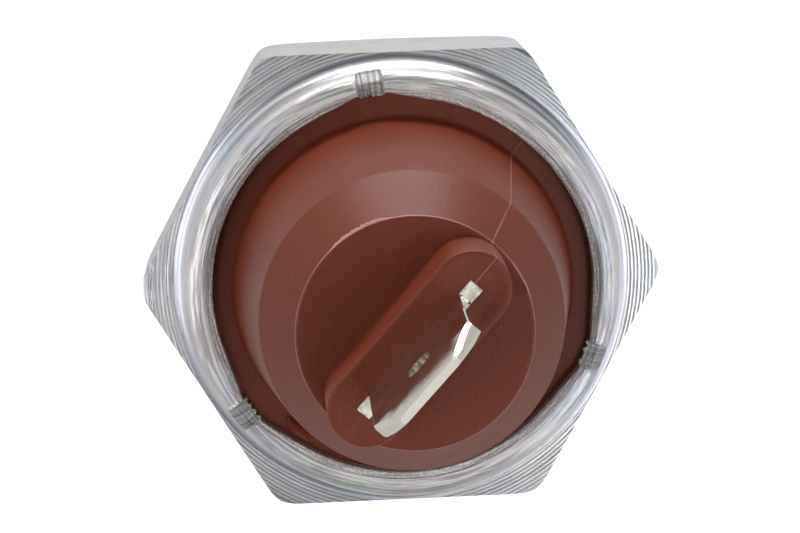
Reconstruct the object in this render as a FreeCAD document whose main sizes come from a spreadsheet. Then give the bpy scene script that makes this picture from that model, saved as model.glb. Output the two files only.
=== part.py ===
"""Oil pressure sender for an engine block, with one blade terminal.

A turned steel body with a hexagon, a threaded stem and an oil port holds a
rubber-sealed diaphragm. Above it a plastic insulator is held down by the rolled
lip of the body. Oil pressure lifts the diaphragm, which lifts a plunger and a
contact disc off the earthed contact ring, against a small spring that also
carries the current to the blade terminal.

Millimetres. +Z runs up the axis to the terminal, and the origin is on the axis
at the underside of the hexagon, where the sender seats on the engine.
"""
import FreeCAD, Part
import math
import os
import Sketcher

SIZES = {
    # hexagon of the body
    "hex_width": 24.0,
    "hex_height": 7.2,
    "lower_land_step": 0.4,
    "upper_land_step": 1.45,
    "land_slope": 0.577,
    # threaded stem and oil port
    "stem_radius": 5.0,
    "stem_length": 11.0,
    "stem_chamfer": 0.9,
    "relief_radius": 4.25,
    "relief_width": 1.5,
    "face_relief_clearance": 0.4,
    "face_relief_depth": 0.2,
    "port_radius": 1.75,
    # cavity of the body
    "seat_width": 2.25,
    "chamber_floor": 2.2,
    "seat_height": 3.6,
    # collar and its rolled lip
    "collar_land": 0.7,
    "collar_wall": 1.05,
    "collar_fillet": 0.65,
    "lip_thickness": 0.9,
    "lip_reach": 0.4,
    "lip_flat": 0.15,
    "lip_edge": 0.2,
    "stake_width": 1.3,
    "stake_depth": 0.5,
    "stake_angle": 97.3,
    "stake_count": 3,
    # clamped stack, from the seat upward
    "clamp_gap": 0.05,
    "oil_gasket_thickness": 1.0,
    "oil_gasket_inset": 0.3,
    "diaphragm_thickness": 0.25,
    "diaphragm_dish": 0.6,
    "diaphragm_slope_run": 1.4,
    "contact_ring_thickness": 0.6,
    "contact_ring_rise": 1.25,
    "contact_ring_foot_inset": 0.7,
    "contact_ring_slope_run": 0.9,
    "flange_gasket_thickness": 0.6,
    "flange_gasket_inset": 0.6,
    # insulator
    "flange_thickness": 2.75,
    "neck_gap": 1.05,
    "neck_taper": 1.35,
    "neck_length": 9.25,
    "shoulder_taper": 1.8,
    "shoulder_length": 2.95,
    "shoulder_edge": 0.3,
    "boss_inset": 0.05,
    "boss_width": 3.8,
    "boss_height": 3.35,
    "boss_root": 0.5,
    "boss_edge": 0.25,
    "ring_recess_clearance": 0.25,
    "ring_recess_depth": 2.1,
    "cap_wall": 2.65,
    "roof_thickness": 4.45,
    "terminal_angle": 47.0,
    # blade terminal
    "tab_width": 6.3,
    "tab_thickness": 0.8,
    "tab_length": 8.15,
    "tab_corner_width": 1.3,
    "tab_corner_length": 2.0,
    "tab_bevel": 0.2,
    "tab_hole_radius": 0.8,
    "tab_hole_from_tip": 3.9,
    "tab_shoulder_width": 8.3,
    "tab_shoulder_height": 1.3,
    "tab_shoulder_proud": 0.1,
    "tab_root_width": 5.0,
    "foot_end_inset": 0.8,
    "foot_side_inset": 1.8,
    # spring and moving contact
    "seat_washer_clearance": 0.5,
    "seat_washer_thickness": 0.5,
    "spigot_clearance": 0.4,
    "spigot_height": 0.6,
    "spring_inset": 1.0,
    "spring_wire": 0.35,
    "spring_turns": 5.5,
    "disc_clearance": 0.6,
    "disc_thickness": 0.4,
    "plunger_head_inset": 1.6,
    "plunger_head_thickness": 1.2,
    "plunger_stem_radius": 2.0,
    "plunger_clearance": 0.3,
    "plunger_float": 0.05,
    # how far a cutting outline runs past what it cuts
    "overrun": 1.0,
}

PARTS_DIR = "parts"
SHEET_NAME = "Sizes"


class Size:
    """A length with its present value and the sheet formula that gives it."""

    def __init__(self, value, text):
        self.value = value
        self.text = text

    def __add__(self, other):
        other = as_size(other)
        return Size(self.value + other.value, f"({self.text} + {other.text})")

    def __sub__(self, other):
        other = as_size(other)
        return Size(self.value - other.value, f"({self.text} - {other.text})")

    def __mul__(self, factor):
        factor = as_size(factor)
        return Size(self.value * factor.value, f"({self.text} * {factor.text})")

    def __truediv__(self, divisor):
        divisor = as_size(divisor)
        return Size(self.value / divisor.value, f"({self.text} / {divisor.text})")

    def __neg__(self):
        return Size(-self.value, f"(0 - {self.text})")


def as_size(number):
    """A plain number as a Size, so that both can be mixed in a formula."""
    if isinstance(number, Size):
        return number
    return Size(float(number), repr(float(number)))


def size(name):
    """The named driving dimension."""
    return Size(float(SIZES[name]), f"{SHEET_NAME}.{name}")


def make_sheet(doc):
    """Write the driving dimensions to the sheet, one alias each."""
    sheet = doc.addObject("Spreadsheet::Sheet", SHEET_NAME)
    for row, (name, value) in enumerate(SIZES.items(), start=1):
        sheet.set(f"A{row}", name)
        sheet.set(f"B{row}", str(value))
        sheet.setAlias(f"B{row}", name)
    doc.recompute()
    return sheet


def bind(thing, prop, length):
    """Tie a property to the sheet through the length's formula."""
    thing.setExpression(prop, as_size(length).text)


def make_body(doc, label):
    """A new body whose label names the piece."""
    body = doc.addObject("PartDesign::Body", label)
    body.Label = label
    return body


def origin_plane(body, role):
    """The body's own origin plane with this role."""
    for feature in body.Origin.OriginFeatures:
        if feature.Role == role:
            return feature
    raise ValueError(f"no plane {role}")


def new_sketch(body, name, role, height=None):
    """An empty sketch on an origin plane, raised along its normal if asked."""
    sketch = body.newObject("Sketcher::SketchObject", name)
    sketch.AttachmentSupport = [(origin_plane(body, role), "")]
    sketch.MapMode = "FlatFace"
    if height is not None:
        bind(sketch, "AttachmentOffset.Base.z", height)
    return sketch


def hold(sketch, kind, geometry, point, length):
    """Fix one coordinate of a sketch point to a length."""
    length = as_size(length)
    axis = -2 if kind == "DistanceX" else -1
    if length.text == "0.0":
        sketch.addConstraint(Sketcher.Constraint("PointOnObject", geometry, point, axis))
        return
    index = sketch.addConstraint(Sketcher.Constraint(kind, geometry, point, length.value))
    sketch.setExpression(f"Constraints[{index}]", length.text)


def outline(body, name, role, corners, height=None):
    """A closed straight-sided sketch with every corner tied to the sheet."""
    sketch = new_sketch(body, name, role, height)
    corners = [(as_size(x), as_size(y)) for x, y in corners]
    points = [FreeCAD.Vector(x.value, y.value, 0) for x, y in corners]
    count = len(points)
    for index in range(count):
        segment = Part.LineSegment(points[index], points[(index + 1) % count])
        sketch.addGeometry(segment, False)
    for index in range(count):
        joint = Sketcher.Constraint("Coincident", index, 2, (index + 1) % count, 1)
        sketch.addConstraint(joint)
    for index, (x, y) in enumerate(corners):
        hold(sketch, "DistanceX", index, 1, x)
        hold(sketch, "DistanceY", index, 1, y)
    return sketch


def box_outline(body, name, role, width, depth, height=None):
    """A rectangle centred on the sketch origin."""
    across = size_of(width) / 2
    along = size_of(depth) / 2
    corners = [(-across, -along), (across, -along), (across, along), (-across, along)]
    return outline(body, name, role, corners, height)


def size_of(value):
    """A Size from either a name or a Size."""
    return size(value) if isinstance(value, str) else as_size(value)


def circle_outline(body, name, role, centre_x, centre_y, radius, height=None):
    """A circle with its centre and radius tied to the sheet."""
    sketch = new_sketch(body, name, role, height)
    centre_x = as_size(centre_x)
    centre_y = as_size(centre_y)
    radius = as_size(radius)
    centre = FreeCAD.Vector(centre_x.value, centre_y.value, 0)
    normal = FreeCAD.Vector(0, 0, 1)
    sketch.addGeometry(Part.Circle(centre, normal, radius.value), False)
    hold(sketch, "DistanceX", 0, 3, centre_x)
    hold(sketch, "DistanceY", 0, 3, centre_y)
    index = sketch.addConstraint(Sketcher.Constraint("Radius", 0, radius.value))
    sketch.setExpression(f"Constraints[{index}]", radius.text)
    return sketch


def stadium_outline(body, name, role, length, width, height=None):
    """Two half circles joined by straight sides, centred on the origin."""
    sketch = new_sketch(body, name, role, height)
    radius = width / 2
    reach = length / 2 - radius
    a = reach.value
    b = radius.value
    vector = FreeCAD.Vector
    quarter = math.pi / 2
    right = Part.Circle(vector(a, 0, 0), vector(0, 0, 1), b)
    left = Part.Circle(vector(-a, 0, 0), vector(0, 0, 1), b)
    sketch.addGeometry(Part.LineSegment(vector(-a, b, 0), vector(a, b, 0)), False)
    sketch.addGeometry(Part.ArcOfCircle(right, -quarter, quarter), False)
    sketch.addGeometry(Part.LineSegment(vector(a, -b, 0), vector(-a, -b, 0)), False)
    sketch.addGeometry(Part.ArcOfCircle(left, quarter, 3 * quarter), False)
    for first, end, second, start in ((0, 2, 1, 2), (1, 1, 2, 1), (2, 2, 3, 2), (3, 1, 0, 1)):
        sketch.addConstraint(Sketcher.Constraint("Tangent", first, end, second, start))
    for arc, place in ((1, reach), (3, -reach)):
        hold(sketch, "DistanceX", arc, 3, place)
        hold(sketch, "DistanceY", arc, 3, 0)
        index = sketch.addConstraint(Sketcher.Constraint("Radius", arc, b))
        sketch.setExpression(f"Constraints[{index}]", radius.text)
    return sketch


def turned(body, name, corners, cut=False):
    """Turn an outline of radius and height about the axis, adding or cutting."""
    sketch = outline(body, name + "_profile", "XZ_Plane", corners)
    kind = "PartDesign::Groove" if cut else "PartDesign::Revolution"
    feature = body.newObject(kind, name)
    feature.Profile = sketch
    feature.ReferenceAxis = (sketch, ["V_Axis"])
    feature.Angle = 360.0
    sketch.Visibility = False
    return feature


def extruded(body, name, sketch, length, cut=False, both_sides=False, downward=False):
    """Pad or pocket a sketch by a length along its normal or against it."""
    kind = "PartDesign::Pocket" if cut else "PartDesign::Pad"
    feature = body.newObject(kind, name)
    feature.Profile = sketch
    bind(feature, "Length", length)
    if both_sides:
        feature.Midplane = True
    # a pocket already runs against the normal, so only one of the two is turned
    feature.Reversed = downward != cut
    sketch.Visibility = False
    return feature


def ring_edges(feature, radius, height):
    """Names of the circular edges with this radius at this height."""
    names = []
    for index, edge in enumerate(feature.Shape.Edges, start=1):
        curve = edge.Curve
        if not isinstance(curve, Part.Circle):
            continue
        same_radius = abs(curve.Radius - radius.value) < 1e-4
        same_height = abs(curve.Center.z - height.value) < 1e-4
        on_axis = math.hypot(curve.Center.x, curve.Center.y) < 1e-4
        if same_radius and same_height and on_axis:
            names.append(f"Edge{index}")
    return names


def level_edges(feature, height):
    """Names of the edges that lie wholly at this height."""
    names = []
    for index, edge in enumerate(feature.Shape.Edges, start=1):
        box = edge.BoundBox
        if abs(box.ZMin - height.value) < 1e-4 and abs(box.ZMax - height.value) < 1e-4:
            names.append(f"Edge{index}")
    return names


def dressed(body, kind, name, base, edges, prop, length):
    """Round or chamfer edges of the last feature."""
    if not edges:
        raise ValueError(f"{name} found no edge")
    feature = body.newObject(f"PartDesign::{kind}", name)
    feature.Base = (base, edges)
    bind(feature, prop, length)
    return feature


def around(body, name, original, count):
    """Repeat a feature evenly about the axis."""
    pattern = body.newObject("PartDesign::PolarPattern", name)
    pattern.Originals = [original]
    pattern.Axis = (original.Profile[0], ["N_Axis"])
    pattern.Angle = 360.0
    bind(pattern, "Occurrences", count)
    body.Tip = pattern
    return pattern


def removed(doc, before, after, name):
    """Check that a cut really took material away."""
    doc.recompute()
    if after.Shape.Volume >= before.Shape.Volume - 1e-6:
        raise ValueError(f"{name} cut nothing")


def stack_heights():
    """Heights of the faces in the clamped stack, from the seat to the terminal."""
    level = {"seat": size("seat_height")}
    level["oil_gasket"] = level["seat"] + size("oil_gasket_thickness")
    level["diaphragm"] = level["oil_gasket"] + size("diaphragm_thickness")
    level["ring_rim"] = level["diaphragm"] + size("contact_ring_thickness")
    level["flange_gasket"] = level["ring_rim"] + size("flange_gasket_thickness")
    level["flange"] = level["flange_gasket"] + size("flange_thickness")
    level["lip"] = level["flange"] + size("lip_thickness")
    level["ring_top"] = level["ring_rim"] + size("contact_ring_rise")
    level["disc"] = level["ring_top"] + size("disc_thickness")
    level["neck"] = level["flange"] + size("neck_length")
    level["plateau"] = level["neck"] + size("shoulder_length")
    level["boss"] = level["plateau"] + size("boss_height")
    level["roof"] = level["plateau"] - size("roof_thickness")
    level["foot"] = level["roof"] - size("tab_thickness")
    level["seat_washer"] = level["foot"] - size("seat_washer_thickness")
    return level


def radial_steps():
    """Radii that follow one another inward from the flats of the hexagon."""
    radius = {"flat": size("hex_width") / 2}
    radius["corner"] = radius["flat"] / math.cos(math.radians(30))
    radius["lower_land"] = radius["flat"] - size("lower_land_step")
    radius["upper_land"] = radius["flat"] + size("upper_land_step")
    radius["collar"] = radius["flat"] - size("collar_land")
    radius["bore"] = radius["collar"] - size("collar_wall")
    radius["clamped"] = radius["bore"] - size("clamp_gap")
    radius["lip"] = radius["bore"] - size("lip_reach")
    radius["chamber"] = radius["bore"] - size("seat_width")
    radius["diaphragm_flat"] = radius["chamber"] - size("diaphragm_slope_run")
    radius["plunger_head"] = radius["diaphragm_flat"] - size("plunger_head_inset")
    radius["ring_foot"] = radius["chamber"] - size("contact_ring_foot_inset")
    radius["ring_shelf"] = radius["ring_foot"] - size("contact_ring_slope_run")
    radius["neck_foot"] = radius["lip"] - size("neck_gap")
    radius["neck_top"] = radius["neck_foot"] - size("neck_taper")
    radius["plateau"] = radius["neck_top"] - size("shoulder_taper")
    radius["boss_end"] = radius["plateau"] - size("boss_inset")
    radius["spring_bore"] = radius["neck_top"] - size("cap_wall")
    radius["disc"] = radius["spring_bore"] - size("disc_clearance")
    radius["washer"] = radius["spring_bore"] - size("seat_washer_clearance")
    radius["spring"] = radius["washer"] - size("spring_inset")
    radius["spigot"] = radius["spring"] - size("spring_wire") - size("spigot_clearance")
    return radius


def make_housing(doc, level, radius):
    """Hexagon, stem, collar and rolled lip, turned from one bar."""
    body = make_body(doc, "hex_housing")
    overrun = size("overrun")
    hexagon = body.newObject("PartDesign::AdditivePrism", "hexagon")
    hexagon.Polygon = 6
    bind(hexagon, "Circumradius", radius["corner"])
    bind(hexagon, "Height", size("hex_height"))

    beyond = radius["corner"] + overrun
    lower = radius["lower_land"]
    upper = radius["upper_land"]
    slope = size("land_slope")
    top = size("hex_height")
    turned(body, "lower_corners", [
        (lower, 0),
        (beyond, (beyond - lower) * slope),
        (beyond, -overrun),
        (lower, -overrun),
    ], cut=True)
    turned(body, "upper_corners", [
        (upper, top),
        (upper, top + overrun),
        (beyond, top + overrun),
        (beyond, top - (beyond - upper) * slope),
    ], cut=True)

    stem = size("stem_radius")
    relief = size("relief_radius")
    end = -size("stem_length")
    relief_end = -size("relief_width")
    turned(body, "stem", [
        (0, size("chamber_floor")),
        (0, end),
        (stem - size("stem_chamfer"), end),
        (stem, end + size("stem_chamfer")),
        (stem, relief_end - (stem - relief)),
        (relief, relief_end),
        (relief, size("chamber_floor")),
    ])

    face_relief = stem + size("face_relief_clearance")
    before = body.Tip
    recess = turned(body, "face_relief", [
        (relief, -overrun),
        (face_relief, -overrun),
        (face_relief, size("face_relief_depth")),
        (relief, size("face_relief_depth")),
    ], cut=True)
    removed(doc, before, recess, "face relief")

    collar = radius["collar"]
    turned(body, "collar", [
        (0, top - overrun),
        (collar, top - overrun),
        (collar, level["lip"]),
        (0, level["lip"]),
    ])

    bore = radius["bore"]
    lip = radius["lip"]
    chamber = radius["chamber"]
    before = body.Tip
    cavity = turned(body, "cavity", [
        (0, level["lip"] + overrun),
        (0, end - overrun),
        (size("port_radius"), end - overrun),
        (size("port_radius"), size("chamber_floor")),
        (chamber, size("chamber_floor")),
        (chamber, level["seat"]),
        (bore, level["seat"]),
        (bore, level["flange"]),
        (lip, level["flange"]),
        (lip, level["lip"] + overrun),
    ], cut=True)
    removed(doc, before, cavity, "cavity")

    roll = collar - lip - size("lip_edge") - size("lip_flat")
    base = dressed(body, "Fillet", "lip_roll", cavity,
                   ring_edges(cavity, collar, level["lip"]), "Radius", roll)
    doc.recompute()
    base = dressed(body, "Fillet", "lip_edge", base,
                   ring_edges(base, lip, level["lip"]), "Radius", size("lip_edge"))
    doc.recompute()
    base = dressed(body, "Fillet", "collar_foot", base,
                   ring_edges(base, collar, top), "Radius", size("collar_fillet"))
    doc.recompute()

    half = size("stake_width") / 2
    mark = outline(body, "stake_profile", "XY_Plane", [
        (lip - overrun, -half),
        (collar + overrun, -half),
        (collar + overrun, half),
        (lip - overrun, half),
    ], level["lip"] - size("stake_depth"))
    bind(mark, "AttachmentOffset.Rotation.Angle", size("stake_angle"))
    stake = extruded(body, "stake_mark", mark, size("stake_depth") + overrun, cut=True)
    removed(doc, base, stake, "stake mark")
    around(body, "stake_marks", stake, size("stake_count"))
    return body


def make_oil_gasket(doc, level, radius):
    """Flat rubber ring that seals the diaphragm to the seat."""
    body = make_body(doc, "oil_gasket")
    inner = radius["chamber"] + size("oil_gasket_inset")
    ring_section(body, "ring", inner, radius["clamped"], level["seat"], level["oil_gasket"])
    return body


def make_flange_gasket(doc, level, radius):
    """Flat rubber ring between the contact ring and the insulator flange."""
    body = make_body(doc, "flange_gasket")
    inner = radius["ring_foot"] + size("flange_gasket_inset")
    ring_section(body, "ring", inner, radius["clamped"], level["ring_rim"], level["flange_gasket"])
    return body


def ring_section(body, name, inner, outer, bottom, top):
    """A ring of rectangular section."""
    return turned(body, name, [
        (inner, bottom),
        (outer, bottom),
        (outer, top),
        (inner, top),
    ])


def make_diaphragm(doc, level, radius):
    """Thin dished film, clamped at its rim and pressed down at rest."""
    body = make_body(doc, "diaphragm")
    outer = radius["clamped"]
    knee = radius["chamber"]
    flat = radius["diaphragm_flat"]
    film = size("diaphragm_thickness")
    dish = size("diaphragm_dish")
    turned(body, "film", [
        (0, level["diaphragm"] - dish),
        (0, level["oil_gasket"] - dish),
        (flat - film / 2, level["oil_gasket"] - dish),
        (knee - film / 2, level["oil_gasket"]),
        (outer, level["oil_gasket"]),
        (outer, level["diaphragm"]),
        (knee, level["diaphragm"]),
        (flat, level["diaphragm"] - dish),
    ])
    return body


def make_contact_ring(doc, level, radius):
    """Pressed ring: a clamped rim and a raised plate with a centre hole."""
    body = make_body(doc, "contact_ring")
    outer = radius["clamped"]
    metal = size("contact_ring_thickness")
    foot = radius["ring_foot"]
    shelf = radius["ring_shelf"]
    hole = size("plunger_stem_radius") + size("plunger_clearance")
    turned(body, "plate", [
        (hole, level["ring_top"]),
        (hole, level["ring_top"] - metal),
        (shelf - metal / 2, level["ring_top"] - metal),
        (foot, level["diaphragm"]),
        (outer, level["diaphragm"]),
        (outer, level["ring_rim"]),
        (foot + metal / 2, level["ring_rim"]),
        (shelf, level["ring_top"]),
    ])
    return body


def make_plunger(doc, level, radius):
    """Headed plastic pin that passes the lift of the diaphragm to the contact."""
    body = make_body(doc, "plunger")
    foot = level["diaphragm"] - size("diaphragm_dish") + size("plunger_float")
    shelf = foot + size("plunger_head_thickness")
    head = radius["plunger_head"]
    stem = size("plunger_stem_radius")
    turned(body, "pin", [
        (0, foot),
        (head, foot),
        (head, shelf),
        (stem, shelf),
        (stem, level["ring_top"]),
        (0, level["ring_top"]),
    ])
    return body


def make_contact_disc(doc, level, radius):
    """Moving contact: a flat disc with a spigot that centres the spring."""
    body = make_body(doc, "contact_disc")
    disc = radius["disc"]
    spigot = radius["spigot"]
    crown = level["disc"] + size("spigot_height")
    turned(body, "disc", [
        (0, level["ring_top"]),
        (disc, level["ring_top"]),
        (disc, level["disc"]),
        (spigot, level["disc"]),
        (spigot, crown),
        (0, crown),
    ])
    return body


def make_spring_seat(doc, level, radius):
    """Washer under the terminal foot, with a spigot inside the spring."""
    body = make_body(doc, "spring_seat")
    washer = radius["washer"]
    spigot = radius["spigot"]
    tip = level["seat_washer"] - size("spigot_height")
    turned(body, "washer", [
        (0, level["foot"]),
        (0, tip),
        (spigot, tip),
        (spigot, level["seat_washer"]),
        (washer, level["seat_washer"]),
        (washer, level["foot"]),
    ])
    return body


def make_spring(doc, level, radius):
    """Compression spring between the contact disc and its upper seat."""
    body = make_body(doc, "contact_spring")
    wire = size("spring_wire")
    start = level["disc"] + wire
    rise = level["seat_washer"] - level["disc"] - wire * 2
    section = circle_outline(body, "wire", "XZ_Plane", radius["spring"], start, wire)
    coil = body.newObject("PartDesign::AdditiveHelix", "coil")
    coil.Profile = section
    coil.ReferenceAxis = (section, ["V_Axis"])
    coil.Mode = "height-turns-angle"
    bind(coil, "Height", rise)
    bind(coil, "Turns", size("spring_turns"))
    section.Visibility = False
    return body


def make_insulator(doc, level, radius):
    """Moulded cap: flange, tapered neck, plateau, long boss and spring bore."""
    body = make_body(doc, "insulator")
    outer = radius["clamped"]
    overrun = size("overrun")
    base = turned(body, "cap", [
        (0, level["flange_gasket"]),
        (outer, level["flange_gasket"]),
        (outer, level["flange"]),
        (radius["neck_foot"], level["flange"]),
        (radius["neck_top"], level["neck"]),
        (radius["plateau"], level["plateau"]),
        (0, level["plateau"]),
    ])
    doc.recompute()
    base = dressed(body, "Fillet", "shoulder_round", base,
                   ring_edges(base, radius["neck_top"], level["neck"]),
                   "Radius", size("shoulder_edge"))

    root = level["plateau"] - size("boss_root")
    stadium = stadium_outline(body, "boss_profile", "XY_Plane",
                              radius["boss_end"] * 2, size("boss_width"), root)
    boss = extruded(body, "boss", stadium, level["boss"] - root)
    doc.recompute()
    base = dressed(body, "Fillet", "boss_round", boss,
                   level_edges(boss, level["boss"]), "Radius", size("boss_edge"))
    doc.recompute()

    recess = level["flange_gasket"] + size("ring_recess_depth")
    recess_radius = radius["ring_foot"] + size("ring_recess_clearance")
    hollow = turned(body, "hollow", [
        (0, level["flange_gasket"] - overrun),
        (recess_radius, level["flange_gasket"] - overrun),
        (recess_radius, recess),
        (radius["spring_bore"], recess),
        (radius["spring_bore"], level["roof"]),
        (0, level["roof"]),
    ], cut=True)
    removed(doc, base, hollow, "hollow")

    thickness = size("tab_thickness")
    slot_outline = box_outline(body, "root_slot_profile", "XY_Plane",
                               "tab_root_width", thickness, level["boss"])
    slot = extruded(body, "root_slot", slot_outline,
                    level["boss"] - level["roof"] + overrun, cut=True, downward=True)
    removed(doc, hollow, slot, "root slot")

    sink = size("tab_shoulder_height") - size("tab_shoulder_proud")
    rest_outline = box_outline(body, "shoulder_slot_profile", "XY_Plane",
                               "tab_shoulder_width", thickness, level["boss"])
    rest = extruded(body, "shoulder_slot", rest_outline, sink, cut=True, downward=True)
    removed(doc, slot, rest, "shoulder slot")
    bind(body, "Placement.Rotation.Angle", size("terminal_angle"))
    return body


def make_terminal(doc, level, radius):
    """Blade terminal stamped from strip: tab, shoulders, root and bent foot."""
    body = make_body(doc, "blade_terminal")
    half_tab = size("tab_width") / 2
    half_shoulder = size("tab_shoulder_width") / 2
    half_root = size("tab_root_width") / 2
    tip = level["boss"] + size("tab_length")
    shoulder_top = level["boss"] + size("tab_shoulder_proud")
    shoulder_foot = shoulder_top - size("tab_shoulder_height")
    right = [
        (half_root, level["foot"]),
        (half_root, shoulder_foot),
        (half_shoulder, shoulder_foot),
        (half_shoulder, shoulder_top),
        (half_tab, shoulder_top),
        (half_tab, tip - size("tab_corner_length")),
        (half_tab - size("tab_corner_width"), tip),
    ]
    left = [(-x, z) for x, z in reversed(right)]
    strip = outline(body, "strip_profile", "XZ_Plane", right + left)
    blade = extruded(body, "strip", strip, size("tab_thickness"), both_sides=True)
    doc.recompute()
    base = dressed(body, "Chamfer", "tip_bevel", blade, broad_edges(blade, tip),
                   "Size", size("tab_bevel"))

    hole_height = tip - size("tab_hole_from_tip")
    circle = circle_outline(body, "hole_profile", "XZ_Plane", 0, hole_height,
                            size("tab_hole_radius"))
    hole = extruded(body, "hole", circle, size("tab_thickness") + size("overrun"),
                    cut=True, both_sides=True)
    removed(doc, base, hole, "terminal hole")

    foot_length = (radius["washer"] - size("foot_end_inset")) * 2
    foot_width = (radius["washer"] - size("foot_side_inset")) * 2
    foot = box_outline(body, "foot_profile", "XY_Plane", foot_length, foot_width,
                       level["foot"])
    extruded(body, "foot", foot, size("tab_thickness"))
    bind(body, "Placement.Rotation.Angle", size("terminal_angle"))
    return body


def broad_edges(feature, height):
    """Names of the long edges at this height that run along X."""
    names = []
    for name in level_edges(feature, height):
        edge = feature.Shape.getElement(name)
        box = edge.BoundBox
        if box.XLength > box.YLength:
            names.append(name)
    return names


def check_document(doc):
    """Stop if any object failed without saying so."""
    for thing in doc.Objects:
        if "Invalid" in thing.State or "Error" in thing.State:
            raise ValueError(f"{thing.Label} failed: {thing.State}")


def export_pieces(pieces):
    """Write one STEP file for each piece, named by its label."""
    os.makedirs(PARTS_DIR, exist_ok=True)
    for piece in pieces:
        shape = piece.Shape
        if shape.isNull() or not shape.isValid() or not shape.Solids:
            raise ValueError(f"{piece.Label} has no valid solid")
        print(f"{piece.Label}: {len(shape.Solids)} solid, {shape.Volume:.2f} mm3")
    for piece in pieces:
        piece.Shape.exportStep(f"{PARTS_DIR}/{piece.Label}.step")


def main():
    doc = FreeCAD.newDocument("oil_pressure_sender")
    make_sheet(doc)
    level = stack_heights()
    radius = radial_steps()
    makers = (
        make_housing,
        make_oil_gasket,
        make_diaphragm,
        make_contact_ring,
        make_flange_gasket,
        make_plunger,
        make_contact_disc,
        make_spring,
        make_spring_seat,
        make_insulator,
        make_terminal,
    )
    pieces = [make(doc, level, radius) for make in makers]
    doc.recompute()
    check_document(doc)
    export_pieces(pieces)


main()
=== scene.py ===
"""Looks of the oil pressure sender: meshes, finishes, light and camera."""
import bpy
import bmesh
import math
from mathutils import Matrix, Vector, noise


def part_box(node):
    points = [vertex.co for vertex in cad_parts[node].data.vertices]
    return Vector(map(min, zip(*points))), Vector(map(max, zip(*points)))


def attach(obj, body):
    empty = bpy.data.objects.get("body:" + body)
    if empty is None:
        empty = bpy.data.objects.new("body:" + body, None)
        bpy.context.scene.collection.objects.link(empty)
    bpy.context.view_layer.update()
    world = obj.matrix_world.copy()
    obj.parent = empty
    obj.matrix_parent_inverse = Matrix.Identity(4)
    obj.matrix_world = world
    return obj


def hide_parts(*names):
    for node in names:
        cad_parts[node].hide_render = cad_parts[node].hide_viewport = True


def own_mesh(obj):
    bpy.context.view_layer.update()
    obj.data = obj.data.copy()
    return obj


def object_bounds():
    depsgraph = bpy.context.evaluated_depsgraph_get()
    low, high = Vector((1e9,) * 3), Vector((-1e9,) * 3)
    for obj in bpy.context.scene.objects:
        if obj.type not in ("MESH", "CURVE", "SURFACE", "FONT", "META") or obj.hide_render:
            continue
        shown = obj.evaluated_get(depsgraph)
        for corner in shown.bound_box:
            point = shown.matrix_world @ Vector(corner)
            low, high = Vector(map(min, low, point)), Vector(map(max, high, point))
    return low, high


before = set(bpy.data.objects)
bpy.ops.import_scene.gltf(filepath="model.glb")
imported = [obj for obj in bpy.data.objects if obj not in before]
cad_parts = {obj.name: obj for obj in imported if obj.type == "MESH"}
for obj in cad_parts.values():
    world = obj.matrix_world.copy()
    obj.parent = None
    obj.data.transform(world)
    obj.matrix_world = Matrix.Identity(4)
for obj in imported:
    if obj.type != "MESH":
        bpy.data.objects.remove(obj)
cad_low, cad_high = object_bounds()

MM = 0.001
ROOT_BODY = "sender_body"

# Sizes of the real object in millimetres, with z from the underside of the hexagon.
HEX_APOTHEM = 12.0
HEX_TOP = 7.2
LOWER_LAND = 11.6
UPPER_LAND = 13.45
LAND_SLOPE = 0.577
CORNER_WORN = 13.68
GROOVE_SPACING = 0.19
GROOVE_DEPTH = 0.0075
BORE = 10.25
COLLAR = 11.3
COLLAR_FILLET = 0.65
FACE_START = COLLAR + COLLAR_FILLET
LIP = 9.85
LIP_TOP = 9.7
LIP_INNER_TOP = 9.56
LIP_CREST = 10.25
LIP_ROLL = 0.95
ROLL_POWER = 2.7
FLANGE_TOP = 8.8
STEM = 5.0
STEM_END = -11.0
LEAD_CHAMFER = 0.95
FACE_RELIEF = 5.4
FACE_RELIEF_DEPTH = 0.2
RELIEF = 4.25
RELIEF_END = -1.5
PITCH = 1.0
PORT = 1.75
PORT_CHAMFER = 0.3
CHAMBER = 8.0
CHAMBER_FLOOR = 2.2
SEAT = 3.6
STAKE_ANGLES = [97.3, 217.3, 337.3]
STAKE_HALF = 0.65
STAKE_FLOOR = 9.28
FLANGE_BOTTOM = 6.05
FLANGE = 10.2
NECK_FOOT = 8.8
NECK_TOP = 7.45
NECK_END = 18.05
PLATEAU = 5.65
PLATEAU_Z = 21.0
BOSS_TOP = 24.35
BOSS_LENGTH = 11.2
BOSS_WIDTH = 3.8
ROOF = 16.55
SPRING_BORE = 4.8
RING_RECESS = 7.55
RING_RECESS_TOP = 8.15
TERMINAL_ANGLE = 47.0
MOULD_LINES = [TERMINAL_ANGLE + 1.5, TERMINAL_ANGLE + 180.0]
TAB_WIDTH = 6.3
TAB_THICKNESS = 0.8
TAB_TIP = 32.5
TAB_HOLE = 0.8
TAB_HOLE_BELOW_TIP = 3.9


# Mesh helpers

def link(name, mesh):
    """A new object for a mesh, linked to the scene."""
    piece = bpy.data.objects.new(name, mesh)
    bpy.context.scene.collection.objects.link(piece)
    return piece


def finished(name, bm, smooth_angle=40.0):
    """Turn a bmesh in millimetres into an object in metres, smooth up to an angle."""
    bmesh.ops.remove_doubles(bm, verts=bm.verts, dist=1e-4)
    bmesh.ops.dissolve_degenerate(bm, edges=bm.edges, dist=1e-5)
    bmesh.ops.recalc_face_normals(bm, faces=bm.faces)
    bmesh.ops.scale(bm, verts=bm.verts, vec=(MM, MM, MM))
    for face in bm.faces:
        face.smooth = True
    for edge in bm.edges:
        if len(edge.link_faces) == 2:
            edge.smooth = edge.calc_face_angle(0.0) < math.radians(smooth_angle)
    mesh = bpy.data.meshes.new(name)
    bm.to_mesh(mesh)
    bm.free()
    return link(name, mesh)


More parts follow.
